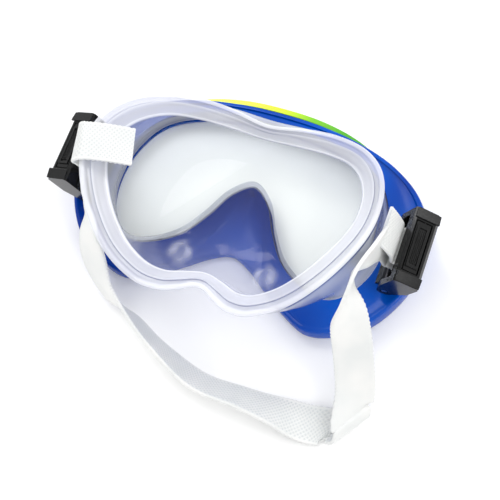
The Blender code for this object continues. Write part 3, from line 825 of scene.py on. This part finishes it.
tip = {
    "face": 22.0,
    "button": {"from": 18.4, "to": 21.9, "across": (-12.1, 12.1), "through": (-4.2, 2.8)},
    "sunk": 0.1,  # how far the ring and the ribs reach down into the button
    "ring": {"rise": 0.75, "wide": 1.15, "across": (-10.2, 10.2), "through": (-3.7, 2.3)},
    "ringLap": (0.2, 0.02),  # the long bars start this far inside the short ones, and are this much lower
    "ribs": {"count": 4, "rise": 0.45, "across": (-8.2, 8.2), "through": (-2.2, 0.8)},
    "ends": {"rise": 0.9, "slope": 0.75, "across": (13.4, 18.3), "through": (-7.5, 4.7), "sunk": 0.4},
}


def addBlock(bm, side, along, across, through, slope=0.0):
    # a block in the buckle's own directions, whose top falls by the slope towards its outer end
    made = bmesh.ops.create_cube(bm, size=2)
    outer = 1 if abs(across[1]) > abs(across[0]) else -1
    for vert in made["verts"]:
        a, y, t = (pair[0] if c < 0 else pair[1] for pair, c in zip((along, across, through), vert.co))
        if vert.co.x > 0 and vert.co.y * outer > 0:
            a -= slope
        place = bucklePoint(a, t, 1 if side == "right" else -1)
        vert.co = (place[0], place[1] + y, place[2])


def makeTip(side):
    # the release button with its ring and gripping ribs, and the two sloping ends of the buckle's tip
    button, ring, ribs, ends = (tip[key] for key in ("button", "ring", "ribs", "ends"))
    bm = bmesh.new()
    addBlock(bm, side, (button["from"], button["to"]), button["across"], button["through"])
    low, high = button["to"] - tip["sunk"], button["to"] + ring["rise"]
    (y0, y1), (t0, t1), wide = ring["across"], ring["through"], ring["wide"]
    lap, lower = tip["ringLap"]
    addBlock(bm, side, (low, high), (y0, y0 + wide), (t0, t1))
    addBlock(bm, side, (low, high), (y1 - wide, y1), (t0, t1))
    addBlock(bm, side, (low, high - lower), (y0 + lap, y1 - lap), (t0, t0 + wide))
    addBlock(bm, side, (low, high - lower), (y0 + lap, y1 - lap), (t1 - wide, t1))
    pitch = (ribs["through"][1] - ribs["through"][0]) / (ribs["count"] - 0.5)
    for i in range(ribs["count"]):
        start = ribs["through"][0] + i * pitch
        addBlock(bm, side, (low, button["to"] + ribs["rise"]), ribs["across"], (start, start + pitch / 2))
    bmesh.ops.recalc_face_normals(bm, faces=bm.faces)
    node, body = f"{side}_release_lever", f"{side}_release"
    finishPiece(f"{side}ReleaseButton", bm, "buckle_plastic", body, [node], sharp=30, bevel=0.15)
    bm = bmesh.new()
    low, high = tip["face"] - ends["sunk"], tip["face"] + ends["rise"]
    for across in (ends["across"], tuple(-y for y in reversed(ends["across"]))):
        addBlock(bm, side, (low, high), across, ends["through"], ends["slope"])
    bmesh.ops.recalc_face_normals(bm, faces=bm.faces)
    finishPiece(f"{side}TipEnds", bm, "buckle_plastic", f"{side}_buckle", sharp=30, bevel=0.3)


for side in ("left", "right"):
    fromSolid(f"{side}_buckle_body", f"{side}BuckleBody", "buckle_plastic", f"{side}_buckle", 0.35)
    fromSolid(f"{side}_hinge_bracket", f"{side}HingeBracket", "buckle_plastic", "root", 0.25)
    makeTip(side)
    fromSolid(f"{side}_strap_roller", f"{side}StrapRoller", "buckle_plastic", f"{side}_roller", 0.1)
    fromSolid(f"{side}_hinge_pin", f"{side}HingePin", "pin_steel", "root", 0.15)
    for pin in ("roller_pin", "lever_pin", "lever_spring"):
        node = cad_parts[f"{side}_{pin}"]
        node.data.materials.clear()
        node.data.materials.append(finishes["pin_steel"])
print("buckles made")


# The setting

studio = {
    "floor": 3.0,
    "floorColour": "fcfcfc",
    "sky": (0.85, 0.95),  # strength at the horizon and overhead
    "lights": (
        # name, place, size, power in W
        ("keyPanel", (-0.45, 0.35, 0.75), 0.4, 2.8),
        ("rightPanel", (0.54, -0.01, 0.78), 0.3, 1.3),
        ("browPanel", (0.48, 0.53, 0.63), 0.3, 1.3),
        ("frontPanel", (0.1, -0.8, 0.5), 0.4, 0.8),
    ),
}


def makeStudio():
    bm = bmesh.new()
    bmesh.ops.create_grid(bm, x_segments=1, y_segments=1, size=studio["floor"])
    mesh = bpy.data.meshes.new("floor")
    bm.to_mesh(mesh)
    bm.free()
    paint = newMaterial("palePaint", Base_Color=linear(studio["floorColour"]), Roughness=0.8)[0]
    mesh.materials.append(paint)
    floor = bpy.data.objects.new("floor", mesh)
    bpy.context.scene.collection.objects.link(floor)
    world = bpy.data.worlds.new("studio")
    world.use_nodes = True
    tree = world.node_tree
    axes = addNode(tree, "ShaderNodeSeparateXYZ")
    coords = addNode(tree, "ShaderNodeTexCoord")
    tree.links.new(coords.outputs["Generated"], axes.inputs["Vector"])
    sky = addNode(
        tree, "ShaderNodeMapRange",
        {"Value": axes.outputs["Z"], "To Min": studio["sky"][0], "To Max": studio["sky"][1]},
    )
    tree.nodes["Background"].inputs["Color"].default_value = (1, 1, 1, 1)
    tree.links.new(sky.outputs["Result"], tree.nodes["Background"].inputs["Strength"])
    bpy.context.scene.world = world
    for name, place, size, power in studio["lights"]:
        light = bpy.data.lights.new(name, "AREA")
        light.size, light.energy = size, power
        panel = bpy.data.objects.new(name, light)
        facing = Vector(place).to_track_quat("Z", "Y").to_matrix().to_4x4()
        panel.matrix_world = Matrix.Translation(place) @ facing
        bpy.context.scene.collection.objects.link(panel)


makeStudio()
bpy.context.scene.view_settings.view_transform = "Standard"
print("studio made")
